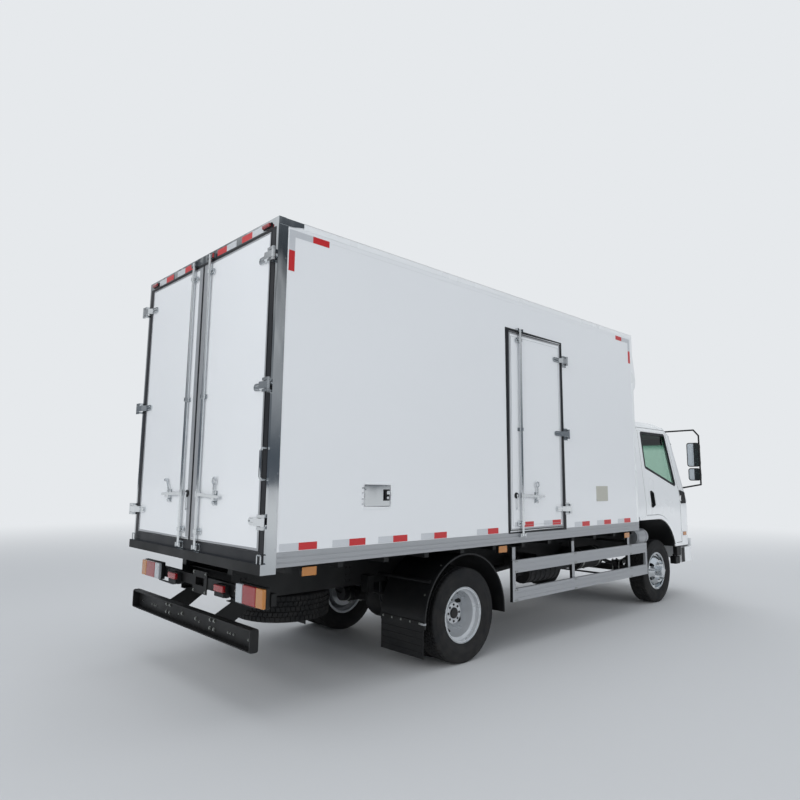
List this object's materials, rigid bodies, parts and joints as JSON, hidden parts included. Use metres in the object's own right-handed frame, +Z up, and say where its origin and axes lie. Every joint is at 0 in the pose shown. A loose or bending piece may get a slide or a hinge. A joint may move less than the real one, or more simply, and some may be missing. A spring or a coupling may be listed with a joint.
{
  "type": "refrigerated truck",
  "caption": "Light forward-control truck with a white insulated box body, rear and side doors, a tilting cab and twin rear wheels.",
  "frame": {"origin": "on the ground under the middle of the overall length and width", "axes": "+X to the truck's right, +Y to its front, +Z up"},
  "size_m": [2.43, 7.164, 3.3799],
  "materials": {
    "grp_white": "smooth insulated panel",
    "cab_white": "gloss white paint",
    "chassis_black": "satin black paint",
    "stainless": "polished stainless steel",
    "chrome_gear": "bright chrome",
    "aluminium_rail": "satin extruded aluminium",
    "tyre": "matt rubber",
    "wheel_silver": "silver wheel paint",
    "wheel_chrome": "chromed steel",
    "black_plastic": "textured black plastic",
    "cast_steel": "painted cast steel",
    "red_lens": "red lamp lens",
    "lamp_lens": "clear lamp lens",
    "window_glass": "green tinted safety glass",
    "interior": "grey trim"
  },
  "bodies": {
    "chassis": {"ladder_frame": "chassis_black", "engine": "cast_steel", "driveline": "cast_steel", "front_axle": "cast_steel", "rear_axle": "cast_steel", "leaf_springs": "chassis_black", "spare_tyre": "tyre", "spare_wheel": "wheel_silver", "fuel_tank": "chassis_black", "frame_stores": "chassis_black", "exhaust": "cast_steel", "rear_fenders": "black_plastic", "side_guard_left": "aluminium_rail", "side_guard_right": "aluminium_rail", "underrun": "chassis_black", "tail_lamps": "red_lens", "box_floor": "chassis_black", "bottom_rails": "aluminium_rail", "side_wall_left": "grp_white", "side_wall_right": "grp_white", "front_wall": "grp_white", "box_roof": "grp_white", "rear_frame": "stainless", "wall_hinges": "stainless", "refrigeration_unit": "cab_white", "front_bumper": "cab_white"},
    "rear_door_left": {"rear_door_left": "grp_white", "rear_door_gear_left": "chrome_gear"},
    "rear_door_right": {"rear_door_right": "grp_white", "rear_door_gear_right": "chrome_gear"},
    "side_door": {"side_door": "grp_white", "side_door_gear": "chrome_gear"},
    "access_hatch": {"access_hatch": "stainless"},
    "cab": {"cab_shell": "cab_white", "cab_glass": "window_glass", "headlamps": "lamp_lens", "mirrors": "black_plastic", "cab_interior": "interior"},
    "cab_door_left": {"cab_door_left": "cab_white", "door_glass_left": "window_glass"},
    "cab_door_right": {"cab_door_right": "cab_white", "door_glass_right": "window_glass"},
    "knuckle_left": {"knuckle_left": "cast_steel"},
    "knuckle_right": {"knuckle_right": "cast_steel"},
    "track_rod": {"track_rod": "cast_steel"},
    "front_wheel_left": {"front_tyre_left": "tyre", "front_wheel_left": "wheel_chrome"},
    "front_wheel_right": {"front_tyre_right": "tyre", "front_wheel_right": "wheel_chrome"},
    "rear_wheels_left": {"rear_tyre_left": "tyre", "rear_wheels_left": "wheel_silver"},
    "rear_wheels_right": {"rear_tyre_right": "tyre", "rear_wheels_right": "wheel_silver"}
  },
  "joints": [
    {"name": "steer_left", "type": "hinge", "parent": "chassis", "child": "knuckle_left", "pos_m": [-0.7, 2.482, 0.3985], "axis": [0, 0, 1], "range_deg": [-35, 35]},
    {"name": "steer_right", "type": "hinge", "parent": "chassis", "child": "knuckle_right", "pos_m": [0.7, 2.482, 0.3985], "axis": [0, 0, 1], "range_deg": [-35, 35]},
    {"name": "track_rod_pivot", "type": "hinge", "parent": "knuckle_left", "child": "track_rod", "pos_m": [-0.7, 2.312, 0.3], "axis": [0, 0, 1], "range_deg": [-35, 35]},
    {"name": "front_left_spin", "type": "hinge", "parent": "knuckle_left", "child": "front_wheel_left", "pos_m": [-0.84, 2.482, 0.3985], "axis": [1, 0, 0], "continuous": true},
    {"name": "front_right_spin", "type": "hinge", "parent": "knuckle_right", "child": "front_wheel_right", "pos_m": [0.84, 2.482, 0.3985], "axis": [1, 0, 0], "continuous": true},
    {"name": "rear_left_spin", "type": "hinge", "parent": "chassis", "child": "rear_wheels_left", "pos_m": [-0.825, -1.498, 0.3985], "axis": [1, 0, 0], "continuous": true},
    {"name": "rear_right_spin", "type": "hinge", "parent": "chassis", "child": "rear_wheels_right", "pos_m": [0.825, -1.498, 0.3985], "axis": [1, 0, 0], "continuous": true},
    {"name": "rear_door_left_hinge", "type": "hinge", "parent": "chassis", "child": "rear_door_left", "pos_m": [-1.14, -3.57, 2.18], "axis": [0, 0, -1], "range_deg": [0, 270]},
    {"name": "rear_door_right_hinge", "type": "hinge", "parent": "chassis", "child": "rear_door_right", "pos_m": [1.14, -3.57, 2.18], "axis": [0, 0, 1], "range_deg": [0, 270]},
    {"name": "side_door_hinge", "type": "hinge", "parent": "chassis", "child": "side_door", "pos_m": [1.167, 0.068, 2.045], "axis": [0, 0, 1], "range_deg": [0, 180]},
    {"name": "access_hatch_hinge", "type": "hinge", "parent": "chassis", "child": "access_hatch", "pos_m": [1.13, -2.703, 1.431], "axis": [0, 0, 1], "range_deg": [-110, 0]},
    {"name": "cab_tilt", "type": "hinge", "parent": "chassis", "child": "cab", "pos_m": [0, 3.352, 0.87], "axis": [-1, 0, 0], "range_deg": [0, 45]},
    {"name": "cab_door_left_hinge", "type": "hinge", "parent": "cab", "child": "cab_door_left", "pos_m": [-1.027, 3.115, 1.095], "axis": [0, 0, -1], "range_deg": [0, 75]},
    {"name": "cab_door_right_hinge", "type": "hinge", "parent": "cab", "child": "cab_door_right", "pos_m": [1.027, 3.115, 1.095], "axis": [0, 0, 1], "range_deg": [0, 75]}
  ],
  "couplings": [
    {"joint": "steer_right", "follows": "steer_left", "ratio": 1},
    {"joint": "track_rod_pivot", "follows": "steer_left", "ratio": -1}
  ]
}
